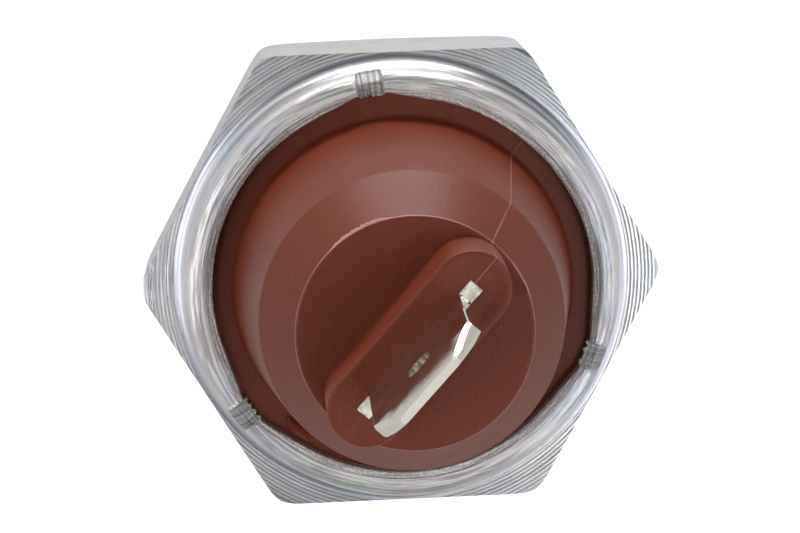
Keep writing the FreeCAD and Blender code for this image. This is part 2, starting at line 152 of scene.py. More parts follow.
def arc(centre_r, centre_z, radius, start, end, steps):
    """Points of radius and height along an arc, in degrees."""
    points = []
    for index in range(steps + 1):
        angle = math.radians(start + (end - start) * index / steps)
        points.append((centre_r + radius * math.cos(angle), centre_z + radius * math.sin(angle)))
    return points


def run(start, end, steps, first=True):
    """Evenly spaced points on a straight run."""
    points = []
    for index in range(0 if first else 1, steps + 1):
        share = index / steps
        points.append((start[0] + (end[0] - start[0]) * share, start[1] + (end[1] - start[1]) * share))
    return points


def bridge(bm, low, high):
    """Join two rings of vertices with quads, or with triangles where one is a single point."""
    count = max(len(low), len(high))
    for index in range(count):
        after = (index + 1) % count
        if len(low) == 1:
            corners = [low[0], high[after], high[index]]
        elif len(high) == 1:
            corners = [low[index], low[after], high[0]]
        else:
            corners = [low[index], low[after], high[after], high[index]]
        bm.faces.new(corners)


def about_axis(angle, r, z):
    """Point at an angle about the axis, a radius and a height."""
    return r * math.cos(angle), r * math.sin(angle), z


def turned(bm, section, angles, place):
    """Turn a section about Z. A section that starts and ends on the axis is
    capped there, and any other is closed on itself."""
    on_axis = 1e-6
    capped = section[0][0] < on_axis and section[-1][0] < on_axis
    rings = []
    for r, z in section:
        if r < on_axis:
            rings.append([bm.verts.new((0, 0, place(0.0, z, 0.0)[1]))])
        else:
            rings.append([bm.verts.new(about_axis(angle, *place(r, z, angle))) for angle in angles])
    pairs = list(zip(rings, rings[1:]))
    if not capped:
        pairs.append((rings[-1], rings[0]))
    for low, high in pairs:
        if len(low) > 1 or len(high) > 1:
            bridge(bm, low, high)


def plain(r, z, angle):
    """Leave a turned point where it is."""
    return r, z


def even_angles(count):
    """Evenly spaced angles round a full turn."""
    return [2 * math.pi * index / count for index in range(count)]


def spread_degrees(centres, reach, step):
    """Degrees all round the axis, with finer ones to each side of every centre."""
    coarse_steps = 240
    spread = {round(360.0 * index / coarse_steps, 4) for index in range(coarse_steps)}
    for degrees in centres:
        for index in range(-reach, reach + 1):
            spread.add(round((degrees + index * step) % 360.0, 4))
    return spread


def angle_from(angle, degrees):
    """How far an angle is past a bearing in degrees, from -pi to pi."""
    return (angle - math.radians(degrees) + math.pi) % (2 * math.pi) - math.pi


def ring_noise(angle, scale, height):
    """Noise that runs on round the axis without a seam."""
    return noise.noise(Vector((math.cos(angle) * scale, math.sin(angle) * scale, height)))


def apply_modifiers(piece):
    """Replace a piece's mesh with what its modifiers make of it."""
    bpy.context.view_layer.update()
    depsgraph = bpy.context.evaluated_depsgraph_get()
    mesh = bpy.data.meshes.new_from_object(piece.evaluated_get(depsgraph))
    piece.modifiers.clear()
    piece.data = mesh
    return mesh


# Steel body

def stake_offset(angle):
    """Nearest stake mark and the angle from it, in radians."""
    best = None
    for index, degrees in enumerate(STAKE_ANGLES):
        delta = angle_from(angle, degrees)
        if best is None or abs(delta) < abs(best[1]):
            best = (index, delta)
    return best


def housing_angles():
    """Angles for the steel body, closer together at the stake marks."""
    closest = 0.12
    kept = []
    for degrees in sorted(spread_degrees(STAKE_ANGLES, 22, 0.24)):
        on_corner = abs(degrees / 60.0 - round(degrees / 60.0)) < 1e-6
        if kept and degrees - kept[-1] < closest and not on_corner:
            continue
        kept.append(degrees)
    return [math.radians(degrees) for degrees in kept]


def hex_radius(angle):
    """Distance from the axis to the hexagon at an angle, with its corners worn round."""
    sector = math.radians(60)
    nearest = (angle - math.radians(30)) % sector
    from_flat = nearest if nearest < sector / 2 else nearest - sector
    sharp = HEX_APOTHEM / math.cos(from_flat)
    untouched = 13.0
    if sharp <= untouched:
        return sharp
    blend = 0.12
    return sharp - blend * math.log(1.0 + math.exp((sharp - CORNER_WORN) / blend))


def smooth_step(low, high, value):
    """0 below low, 1 above high and smooth between."""
    share = min(max((value - low) / (high - low), 0.0), 1.0)
    return share * share * (3 - 2 * share)


def turning_groove(r, angle):
    """Height of the fine turning grooves on the face of the hexagon."""
    wander = 0.02 * ring_noise(angle, 1.5, r * 0.4)
    wave = math.sin(2 * math.pi * (r + wander) / GROOVE_SPACING)
    uneven = 0.8 + 0.4 * ring_noise(angle, 2.5, r * 2.0)
    return GROOVE_DEPTH * wave * uneven


def lip_streaks(r, angle):
    """Height of the long and short rolled streaks that run round the lip."""
    return 0.022 * ring_noise(angle, 1.6, r * 5.5) + 0.02 * ring_noise(angle, 7.0, r * 14.0)


def stake_shape(r, z, angle):
    """Press the three stake marks into the lip and flare its edge beside them."""
    index, delta = stake_offset(angle)
    across = delta * r
    if z < FLANGE_TOP - 0.01 or r < LIP - 0.01 or r > COLLAR + 0.05:
        return r, z
    wall = 0.07
    flare_depth = 0.4
    flare_reach = 1.6
    near_edge = 1.0 - smooth_step(LIP, LIP + 0.9, r)
    flare = flare_depth * math.exp(-(across / flare_reach) ** 2) * near_edge
    inside = 1.0 - smooth_step(STAKE_HALF - wall, STAKE_HALF + wall, abs(across))
    seed = index * 7.3
    # the punch pushes a ragged tongue inward, so there the edge is hardly drawn back
    tongue = 0.16 + 0.22 * noise.noise(Vector((across * 4.0, seed, 1.0)))
    r = r + flare - tongue * near_edge * inside
    # the scraped floor steps up, then slopes down outward, with lines across and along it
    step = 0.07 * smooth_step(10.68, 10.76, r)
    outer = smooth_step(10.6, 10.8, r)
    lines = 0.022 * noise.noise(Vector((across * 1.5 + seed, r * 13.0, seed))) * outer
    lines += 0.034 * noise.noise(Vector((across * 9.0, r * 1.5 + seed, 3.0 + seed))) * (1.0 - 0.6 * outer)
    slope = 0.62 * smooth_step(10.6, COLLAR + 0.05, r) + 0.05 * smooth_step(10.4, LIP, r)
    floor = STAKE_FLOOR + step + lines - slope
    floor += 0.07 * noise.noise(Vector((across * 2.0, r * 1.2, seed)))
    if z > floor:
        z = z + (floor - z) * inside
    # raised burr beside the mark
    burr = 0.035
    rim = math.exp(-((abs(across) - STAKE_HALF - 0.1) / wall) ** 2)
    if z > LIP_INNER_TOP - 0.1:
        z = z + burr * rim
    return r, z


def lip_unevenness(r, z, angle):
    """Slow waviness and fine streaks left by rolling the lip."""
    if z < HEX_TOP + 0.9 or r < LIP - 0.5 or r > COLLAR + 0.05:
        return r, z
    wave = 0.05 * ring_noise(angle, 2.2, z * 0.3) * smooth_step(COLLAR, LIP, r)
    chips = 0.03 * ring_noise(angle, 45.0, 2.0) * (1.0 - smooth_step(LIP + 0.05, LIP + 0.3, r))
    on_top = smooth_step(LIP_TOP - LIP_ROLL, LIP_TOP - 0.3, z)
    return r + wave + chips, z + lip_streaks(r, angle) * on_top


def thread_radius(z, angle):
    """Radius of a right-hand metric thread at a height and angle."""
    depth = 0.6134 * PITCH
    phase = (z / PITCH - angle / (2 * math.pi)) % 1.0
    from_crest = abs(phase - 0.5) * 2.0
    flat_crest = 0.16
    flat_root = 0.8
    share = min(max((from_crest - flat_crest) / (flat_root - flat_crest), 0.0), 1.0)
    # the thread runs out at the relief and is cut by the lead chamfer
    run_out = smooth_step(RELIEF_END - 0.75, RELIEF_END - 1.1, z)
    radius = STEM - depth * share * run_out
    chamfer = STEM - (LEAD_CHAMFER - 0.05) + (z - STEM_END)
    return min(radius, max(chamfer, STEM - LEAD_CHAMFER))


def housing_section():
    """Outline of the steel body, and which of its rows lie on the face of the hexagon."""
    corner = HEX_APOTHEM / math.cos(math.radians(30))
    edge_round = 0.1
    section = run((LIP, FLANGE_TOP), (LIP, LIP_INNER_TOP - edge_round), 4)
    section += arc(LIP + edge_round, LIP_INNER_TOP - edge_round, edge_round, 180, 112, 4)[1:]
    inner = section[-1]
    # a flat sheared band slants up to the crest, which then rolls outward
    band_end = (LIP_CREST - 0.08, LIP_TOP - 0.06)
    section += run(inner, band_end, 9, first=False)
    section += [(LIP_CREST - 0.03, LIP_TOP - 0.015), (LIP_CREST, LIP_TOP)]
    roll_steps = 36
    for index in range(1, roll_steps + 1):
        # evenly spaced across the flat crown, then evenly down the side
        turn = math.pi / 2 * index / roll_steps
        across = math.sin(turn) ** (2 / ROLL_POWER)
        fall = math.cos(turn) ** (2 / ROLL_POWER)
        section.append((LIP_CREST + (COLLAR - LIP_CREST) * across, LIP_TOP - LIP_ROLL * (1 - fall)))
    section += run((COLLAR, LIP_TOP - LIP_ROLL), (COLLAR, HEX_TOP + COLLAR_FILLET), 3, first=False)
    section += arc(FACE_START, HEX_TOP + COLLAR_FILLET, COLLAR_FILLET, 180, 270, 10)[1:]
    first_row = len(section)
    spacing = 0.034
    steps = int((corner - FACE_START) / spacing) + 1
    section += [(FACE_START + spacing * (index + 1), HEX_TOP) for index in range(steps)]
    face_rows = range(first_row, len(section))
    # shares of the way down the side and then in under it, which depend on the angle
    section += [("side", share) for share in (0.0, 0.25, 0.5, 0.75, 1.0)]
    section += [("under", share) for share in (0.25, 0.5, 0.75, 1.0)]
    section += run((LOWER_LAND, 0.0), (FACE_RELIEF, 0.0), 4, first=False)
    section += [(FACE_RELIEF, FACE_RELIEF_DEPTH), (RELIEF, FACE_RELIEF_DEPTH)]
    section += run((RELIEF, FACE_RELIEF_DEPTH), (RELIEF, RELIEF_END), 3, first=False)
    section += run((STEM, RELIEF_END - (STEM - RELIEF)), (STEM, STEM_END + 0.05), 78)
    section += [(STEM - LEAD_CHAMFER, STEM_END), (PORT + PORT_CHAMFER, STEM_END)]
    section += [(PORT, STEM_END + PORT_CHAMFER)]
    section += run((PORT, STEM_END + PORT_CHAMFER), (PORT, CHAMBER_FLOOR), 4, first=False)
    section += [(CHAMBER, CHAMBER_FLOOR), (CHAMBER, SEAT), (BORE, SEAT), (BORE, FLANGE_TOP)]
    return section, face_rows


def housing_place(r, z, angle, on_face):
    """Radius and height at an angle of a point of the steel body's outline."""
    edge = hex_radius(angle)
    upper_z = HEX_TOP - max(0.0, edge - UPPER_LAND) * LAND_SLOPE
    lower_z = (edge - LOWER_LAND) * LAND_SLOPE
    if r == "side":
        return edge, upper_z + (lower_z - upper_z) * z
    if r == "under":
        return edge + (LOWER_LAND - edge) * z, lower_z * (1.0 - z)
    if on_face:
        r = min(r, edge)
        level = HEX_TOP - max(0.0, r - UPPER_LAND) * LAND_SLOPE
        fade = smooth_step(FACE_START, FACE_START + 0.1, r)
        fade *= 1.0 - smooth_step(UPPER_LAND - 0.05, UPPER_LAND + 0.05, r)
        return r, level + turning_groove(r, angle) * fade
    if r > RELIEF and STEM_END + 0.04 < z < RELIEF_END - 0.1:
        return thread_radius(z, angle), z
    return lip_unevenness(*stake_shape(r, z, angle), angle)


def build_housing():
    """Hexagon, collar, rolled lip, threaded stem and hidden cavity in one mesh."""
    bm = bmesh.new()
    angles = housing_angles()
    section, face_rows = housing_section()
    rings = []
    for row, (r, z) in enumerate(section):
        on_face = row in face_rows
        places = [about_axis(angle, *housing_place(r, z, angle, on_face)) for angle in angles]
        rings.append([bm.verts.new(place) for place in places])
    for low, high in zip(rings, rings[1:] + rings[:1]):
        bridge(bm, low, high)
    return finished("steel_body", bm, 38.0)


# Moulded cap

def cap_section():
    """Outline of the cap from its roof inside to the plateau outside."""
    section = [(0.0, ROOF), (SPRING_BORE, ROOF), (SPRING_BORE, RING_RECESS_TOP)]
    section += [(RING_RECESS, RING_RECESS_TOP), (RING_RECESS, FLANGE_BOTTOM)]
    section += [(FLANGE, FLANGE_BOTTOM), (FLANGE, FLANGE_TOP - 0.02)]
    section += run((FLANGE, FLANGE_TOP - 0.02), (NECK_FOOT + 0.12, FLANGE_TOP - 0.02), 8, first=False)
    section += [(NECK_FOOT, FLANGE_TOP + 0.08)]
    section += run((NECK_FOOT - 0.01, FLANGE_TOP + 0.2), (NECK_TOP + 0.03, NECK_END - 0.2), 40)
    section += [(NECK_TOP + 0.012, NECK_END - 0.09), (NECK_TOP - 0.03, NECK_END + 0.02)]
    section += run((NECK_TOP - 0.1, NECK_END + 0.12), (PLATEAU + 0.07, PLATEAU_Z - 0.1), 22)
    section += [(PLATEAU + 0.03, PLATEAU_Z - 0.03), (PLATEAU - 0.03, PLATEAU_Z)]
    section += run((PLATEAU - 0.1, PLATEAU_Z), (0.0, PLATEAU_Z), 12)
    return section


def parting_ridge(r, angle):
    """Height of the fine moulding line in the plane of the terminal."""
    ridge = 0.035
    half_width = 0.05
    height = 0.0
    for degrees in MOULD_LINES:
        across = angle_from(angle, degrees) * max(r, 1.0)
        height += ridge * math.exp(-(across / half_width) ** 2)
    return height


def cap_angles():
    """Angles for the cap, closer together at the moulding lines and the torn flash."""
    flash_start = 98.25
    flash_step = 0.5
    spread = spread_degrees(MOULD_LINES, 8, 0.12)
    for index in range(76):
        spread.add(flash_start + flash_step * index)
    return [math.radians(degrees) for degrees in sorted(spread)]


def cap_place(r, z, angle):
    """Add the moulding line, the flash round the plateau and a faint unevenness outside."""
    outside = z > FLANGE_TOP + 0.15 and r > PLATEAU - 0.05
    if outside:
        r = r + parting_ridge(r, angle) * (0.8 + 0.5 * noise.noise(Vector((0.0, 3.0, z * 2.2))))
        r += 0.012 * ring_noise(angle, 3, z * 0.8)
    edge = math.exp(-((r - PLATEAU) / 0.09) ** 2) * math.exp(-((z - PLATEAU_Z) / 0.15) ** 2)
    flash = edge * edge_flash(angle)
    return r + flash, z + 0.35 * flash


def edge_flash(angle):
    """How far the torn flash stands out from the plateau's edge."""
    degrees = math.degrees(angle) % 360.0
    torn = smooth_step(98.0, 104.0, degrees) * (1.0 - smooth_step(126.0, 134.0, degrees))
    small = smooth_step(12.0, 18.0, degrees) * (1.0 - smooth_step(32.0, 40.0, degrees))
    ragged = noise.noise(Vector((degrees * 0.21, 5.0, 0.0)))
    fine = noise.noise(Vector((degrees * 0.75, 9.0, 0.0)))
    return torn * (0.2 + 0.16 * ragged + 0.09 * fine) + small * (0.04 + 0.07 * ragged + 0.04 * fine)


def stadium(length, width, inset, steps=24):
    """Points round a stadium, anticlockwise, inset from its edge."""
    radius = width / 2 - inset
    reach = length / 2 - width / 2
    points = []
    for sign, start in ((1, -90), (-1, 90)):
        for index in range(steps + 1):
            angle = math.radians(start + 180.0 * index / steps)
            points.append((sign * reach + radius * math.cos(angle), radius * math.sin(angle)))
    side = 10
    full = []
    for index, point in enumerate(points):
        full.append(point)
        after = points[(index + 1) % len(points)]
        if abs(after[0] - point[0]) > reach:
            for share in range(1, side):
                along = share / side
                full.append((point[0] + (after[0] - point[0]) * along, point[1]))
    return full


def loft(bm, rings):
    """Join rings of points with quads and close both ends."""
    made = [[bm.verts.new(point) for point in ring] for ring in rings]
    for low, high in zip(made, made[1:]):
        bridge(bm, low, high)
    bm.faces.new(list(reversed(made[0])))
    bm.faces.new(made[-1])


def build_boss():
    """Long boss round the foot of the blade, with a rounded top edge."""
    bm = bmesh.new()
    turn = Matrix.Rotation(math.radians(TERMINAL_ANGLE), 3, "Z")
    edge = 0.16
    draft = 0.05
    levels = [(PLATEAU_Z - 0.5, 0.0), (PLATEAU_Z + 0.3, 0.0), (BOSS_TOP - edge, draft)]
    edge_steps = 5
    for index in range(1, edge_steps + 1):
        angle = math.radians(90.0 * index / edge_steps)
        levels.append((BOSS_TOP - edge + edge * math.sin(angle), draft + edge * (1 - math.cos(angle))))
    # the top sinks very slightly towards the blade
    for inset in (0.35, 0.6, 0.9, 1.25):
        levels.append((BOSS_TOP - 0.03 * smooth_step(0.2, 0.7, inset), draft + inset))
    rings = []
    for z, inset in levels:
        ring = []
        for x, y in stadium(BOSS_LENGTH, BOSS_WIDTH, inset):
            # the moulding line crosses the top beyond the blade
            beyond = smooth_step(4.1, 4.4, abs(x))
            raised = 0.03 * math.exp(-(y / 0.07) ** 2) * beyond * smooth_step(BOSS_TOP - 0.5, BOSS_TOP, z)
            point = turn @ Vector((x, y, 0))
            ring.append((point.x, point.y, z + raised))
        rings.append(ring)
    loft(bm, rings)
    return finished("cap_boss", bm, 35.0)


def join_solids(piece, other, operation="UNION"):
    """Combine two closed meshes into one."""
    modifier = piece.modifiers.new("join", "BOOLEAN")
    modifier.operation = operation
    modifier.solver = "EXACT"
    modifier.object = other
    mesh = apply_modifiers(piece)
    bpy.data.objects.remove(other)
    mark_sharp(mesh, 33.0)
    return piece


def mark_sharp(mesh, degrees):
    """Shade a mesh smooth apart from its edges past an angle."""
    bm = bmesh.new()
    bm.from_mesh(mesh)
    for face in bm.faces:
        face.smooth = True
    for edge in bm.edges:
        edge.smooth = len(edge.link_faces) == 2 and edge.calc_face_angle(0.0) < math.radians(degrees)
    bm.to_mesh(mesh)
    bm.free()


def build_sliver():
    """Curled sliver of torn plastic that clings to the foot of the neck."""
    bm = bmesh.new()
    rings = []
    start = 227.0
    length = 14.0
    steps = 22
    for index in range(steps + 1):
        share = index / steps
        angle = math.radians(start + length * share)
        swell = math.sin(math.pi * share)
        half = 0.02 + 0.24 * swell ** 0.7
        middle = 9.15 + 0.25 * swell + 0.05 * math.sin(9.0 * share)
        height = FLANGE_TOP + 0.12 + 0.28 * swell + 0.05 * math.sin(11.0 * share)
        ring = []
        for turn in even_angles(8):
            r = middle + half * math.cos(turn)
            z = height + 0.075 * math.sin(turn) + 0.12 * math.cos(turn) * half / 0.26
            ring.append(about_axis(angle, r, z))
        rings.append(ring)
    loft(bm, rings)
    return finished("torn_sliver", bm, 60.0)


def build_cap():
    """The moulded cap in one mesh."""
    bm = bmesh.new()
    turned(bm, cap_section(), cap_angles(), cap_place)
    cap = finished("moulded_cap", bm, 33.0)
    join_solids(cap, build_boss())
    return join_solids(cap, build_sliver())


# Blade terminal

def blade_ring(z, half_width, half_thickness, cut_x=0.05, cut_y=0.05):
    """One level section of the blade, a rectangle with its corners cut."""
    right = [(half_width - cut_x, -half_thickness), (half_width, cut_y - half_thickness)]
    right += [(half_width, half_thickness - cut_y), (half_width - cut_x, half_thickness)]
    left = [(-x, -y) for x, y in right]
    return [(x, y, z) for x, y in right + left]


def build_shoulder(side):
    """Lumpy shoulder of the blade where it rests on the boss."""
    bm = bmesh.new()
    inner = TAB_WIDTH / 2 - 0.1
    outer = 4.0
    across = Matrix.Diagonal((outer - inner, TAB_THICKNESS - 0.06, 1.5, 1.0))
    bmesh.ops.create_cube(bm, size=1.0, matrix=across)
    bmesh.ops.subdivide_edges(bm, edges=bm.edges, cuts=9, use_grid_fill=True)
    bmesh.ops.smooth_vert(bm, verts=bm.verts, factor=0.5, use_axis_x=True, use_axis_y=True, use_axis_z=True)
    for vert in bm.verts:
        lump = noise.noise(vert.co * 2.6 + Vector((side * 5.0, 0, 0)))
        dent = noise.noise(vert.co * 7.0 + Vector((side * 9.0, 4.0, 0)))
        top = smooth_step(0.3, 0.75, vert.co.z)
        vert.co.z += top * (0.16 * lump + 0.03 * dent)
        vert.co.x += 0.03 * dent
        vert.co += Vector((side * (inner + outer) / 2, 0, BOSS_TOP - 0.62))
    bmesh.ops.transform(bm, matrix=Matrix.Rotation(math.radians(TERMINAL_ANGLE), 4, "Z"), verts=bm.verts)
    return finished("blade_shoulder", bm, 60.0)


def build_blade():
    """Stamped blade with a bevelled tip, a locating hole and two lumpy shoulders."""
    half_width = TAB_WIDTH / 2
    half = TAB_THICKNESS / 2
    root = 2.5
    tip_half = 0.19
    slant_height = 2.0
    slant_inset = 1.3
    bevel_height = 1.7
    tip_steps = 16
    rings = [blade_ring(ROOF - 0.8, root, half), blade_ring(BOSS_TOP - 1.2, root, half)]
    rings += [blade_ring(BOSS_TOP - 1.19, half_width, half)]
    rings += [blade_ring(TAB_TIP - slant_height - 0.25, half_width, half)]
    for index in range(tip_steps + 1):
        share = index / tip_steps
        z = TAB_TIP - slant_height * (1 - share)
        narrowed = half_width - slant_inset * share
        # the coined bevel curves in towards the tip
        bevel = max(0.0, (z - TAB_TIP + bevel_height) / bevel_height) ** 1.35
        thickness = half - (half - tip_half) * bevel
        rings.append(blade_ring(z, narrowed, thickness, 0.24, min(0.2, thickness - 0.08)))
    bm = bmesh.new()
    loft(bm, rings)
    turn = Matrix.Rotation(math.radians(TERMINAL_ANGLE), 4, "Z")
    bmesh.ops.transform(bm, matrix=turn, verts=bm.verts)
    blade = finished("blade", bm, 30.0)
    for side in (-1, 1):
        join_solids(blade, build_shoulder(side))

    cutter_bm = bmesh.new()
    lean = Matrix.Rotation(math.radians(90), 4, "X")
    place = turn @ Matrix.Translation((0, 0, TAB_TIP - TAB_HOLE_BELOW_TIP)) @ lean
    bmesh.ops.create_cone(cutter_bm, cap_ends=True, segments=40, radius1=TAB_HOLE, radius2=TAB_HOLE,
                          depth=3.0, matrix=place)
    cutter = finished("blade_hole", cutter_bm)
    join_solids(blade, cutter, "DIFFERENCE")

    foot_bm = bmesh.new()
    foot_matrix = turn @ Matrix.Translation((0, 0, ROOF - 0.4)) @ Matrix.Diagonal((7.0, 5.0, 0.8, 1.0))
    bmesh.ops.create_cube(foot_bm, size=1.0, matrix=foot_matrix)
    join_solids(blade, finished("blade_foot", foot_bm))
    soften(blade, 0.05, 3)
    return blade


def soften(piece, width, segments):
    """Round every sharp edge of a piece by a small bevel."""
    sharp = 30.0
    modifier = piece.modifiers.new("soften", "BEVEL")
    modifier.width = width * MM
    modifier.segments = segments
    modifier.limit_method = "ANGLE"
    modifier.angle_limit = math.radians(sharp)
    modifier.harden_normals = True
    for polygon in apply_modifiers(piece).polygons:
        polygon.use_smooth = True


# Spring and diaphragm, which change shape with the joint

def build_spring():
    """Compression spring with closed ends."""
    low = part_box("contact_disc")[1].z / MM - 0.6
    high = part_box("spring_seat")[0].z / MM + 0.6
    wire = 0.35
    radius = 3.3
    turns = 6.5
    steps = 300
    rings = []
    for index in range(steps + 1):
        share = index / steps
        angle = 2 * math.pi * turns * share
        end = 1.0 / turns
        rise = smooth_step(end * 0.4, 1.0 - end * 0.4, share)
        z = low + wire + (high - low - 2 * wire) * rise
        centre = Vector((radius * math.cos(angle), radius * math.sin(angle), z))
        outward = Vector((math.cos(angle), math.sin(angle), 0))
        ring = []
        for side in range(12):
            turn = 2 * math.pi * side / 12
            ring.append(centre + outward * wire * math.cos(turn) + Vector((0, 0, wire * math.sin(turn))))
        rings.append(ring)
    bm = bmesh.new()
    loft(bm, rings)
    return finished("coil_spring", bm, 60.0)


def build_diaphragm():
    """Dished film with a rolled knee."""
    film = 0.25
    top = [(0.0, 4.25), (6.0, 4.25), (6.5, 4.27), (7.2, 4.5), (7.7, 4.77), (8.0, 4.85), (10.2, 4.85)]
    bottom = [(r, z - film) for r, z in reversed(top)]
    bm = bmesh.new()
    turned(bm, top + bottom, even_angles(96), plain)
    return finished("film_diaphragm", bm, 35.0)


# Materials

class Nodes:
    """Short calls for building one material's node tree."""

    def __init__(self, name):
        self.material = bpy.data.materials.new(name)
        self.material.use_nodes = True
        self.tree = self.material.node_tree
        self.tree.nodes.clear()
        self.output = self.add("ShaderNodeOutputMaterial")
        self.shader = self.add("ShaderNodeBsdfPrincipled")
        self.join(self.shader.outputs[0], self.output.inputs["Surface"])
        self.place = self.add("ShaderNodeTexCoord").outputs["Object"]

    def add(self, kind, **settings):
        node = self.tree.nodes.new(kind)
        for key, value in settings.items():
            setattr(node, key, value)
        return node

    def join(self, source, target):
        self.tree.links.new(source, target)

    def feed(self, target, value):
        if hasattr(value, "is_output"):
            self.join(value, target)
        else:
            target.default_value = value

    def maths(self, operation, first, second=0.0, third=None):
        node = self.add("ShaderNodeMath", operation=operation)
        self.feed(node.inputs[0], first)
        self.feed(node.inputs[1], second)
        if third is not None:
            self.feed(node.inputs[2], third)
        return node.outputs[0]

    def times(self, first, *others):
        """All the values multiplied together."""
        for other in others:
            first = self.maths("MULTIPLY", first, other)
        return first

    def noise(self, scale, detail=3.0, where=None, roughness=0.5, distortion=0.0):
        node = self.add("ShaderNodeTexNoise")
        self.join(where or self.place, node.inputs["Vector"])
        node.inputs["Scale"].default_value = scale
        node.inputs["Detail"].default_value = detail
        node.inputs["Roughness"].default_value = roughness
        node.inputs["Distortion"].default_value = distortion
        return node.outputs["Fac"]

    def ramp(self, value, stops):
        node = self.add("ShaderNodeValToRGB")
        self.join(value, node.inputs["Fac"])
        ramp = node.color_ramp
        while len(ramp.elements) < len(stops):
            ramp.elements.new(0.5)
        for element, (position, colour) in zip(ramp.elements, stops):
            element.position = position
            element.color = (*colour, 1.0)
        return node.outputs["Color"]

    def mix(self, share, first, second):
        node = self.add("ShaderNodeMix", data_type="RGBA", blend_type="MIX")
        self.feed(node.inputs["Factor"], share)
        for socket, value in ((node.inputs[6], first), (node.inputs[7], second)):
            self.feed(socket, value if hasattr(value, "is_output") else (*value, 1.0))
        return node.outputs[2]

    def limits(self, value, low, high, to_low=0.0, to_high=1.0):
        node = self.add("ShaderNodeMapRange")
        self.feed(node.inputs["Value"], value)
        node.inputs["From Min"].default_value = low
        node.inputs["From Max"].default_value = high
        node.inputs["To Min"].default_value = to_low
        node.inputs["To Max"].default_value = to_high
        return node.outputs[0]

    def past(self, place, low, high):
        """0 below a place in millimetres and 1 above it."""
        return self.limits(place, low * MM, high * MM)

    def short_of(self, place, low, high):
        """1 below a place in millimetres and 0 above it."""
        return self.limits(place, low * MM, high * MM, 1.0, 0.0)

    def split(self):
        node = self.add("ShaderNodeSeparateXYZ")
        self.join(self.place, node.inputs[0])
        return node.outputs

    def bump(self, height, strength, distance, normal=None):
        node = self.add("ShaderNodeBump")
        node.inputs["Strength"].default_value = strength
        node.inputs["Distance"].default_value = distance
        self.join(height, node.inputs["Height"])
        if normal is not None:
            self.join(normal, node.inputs["Normal"])
        return node.outputs["Normal"]

    def combine(self, x, y, z):
        node = self.add("ShaderNodeCombineXYZ")
        for socket, value in zip(node.inputs, (x, y, z)):
            self.feed(socket, value)
        return node.outputs[0]

    def set(self, **values):
        for key, value in values.items():
            socket = self.shader.inputs[key.replace("_", " ")]
            if isinstance(value, tuple) and socket.type == "RGBA":
                value = (*value, 1.0)
            self.feed(socket, value)


def axis_place(nodes):
    """Distance from the axis, and height."""
    x, y, z = nodes.split()
    return nodes.maths("SQRT", nodes.maths("ADD", nodes.times(x, x), nodes.times(y, y))), z


def turned_noise(nodes, around, outward, detail, roughness=0.5):
    """Noise in streaks that run round the axis, set closer outward and up than around."""
    x, y, _ = nodes.split()
    radius, z = axis_place(nodes)
    place = nodes.combine(
        nodes.times(nodes.maths("DIVIDE", x, radius), around),
        nodes.times(nodes.maths("DIVIDE", y, radius), around),
        nodes.maths("ADD", nodes.times(radius, outward), nodes.times(z, outward)))
    return nodes.noise(1.0, detail, where=place, roughness=roughness)


def radial_mark(nodes, degrees, inner, outer):
    """1 along a line out from the axis at an angle, fading between two half widths in millimetres."""
    x, y, _ = nodes.split()
    east = math.cos(math.radians(degrees))
    north = math.sin(math.radians(degrees))
    along = nodes.maths("ADD", nodes.times(x, east), nodes.times(y, north))
    across = nodes.maths("SUBTRACT", nodes.times(x, north), nodes.times(y, east))
    near = nodes.short_of(nodes.maths("ABSOLUTE", across), inner, outer)
    return nodes.times(near, nodes.maths("GREATER_THAN", along, 0.0))


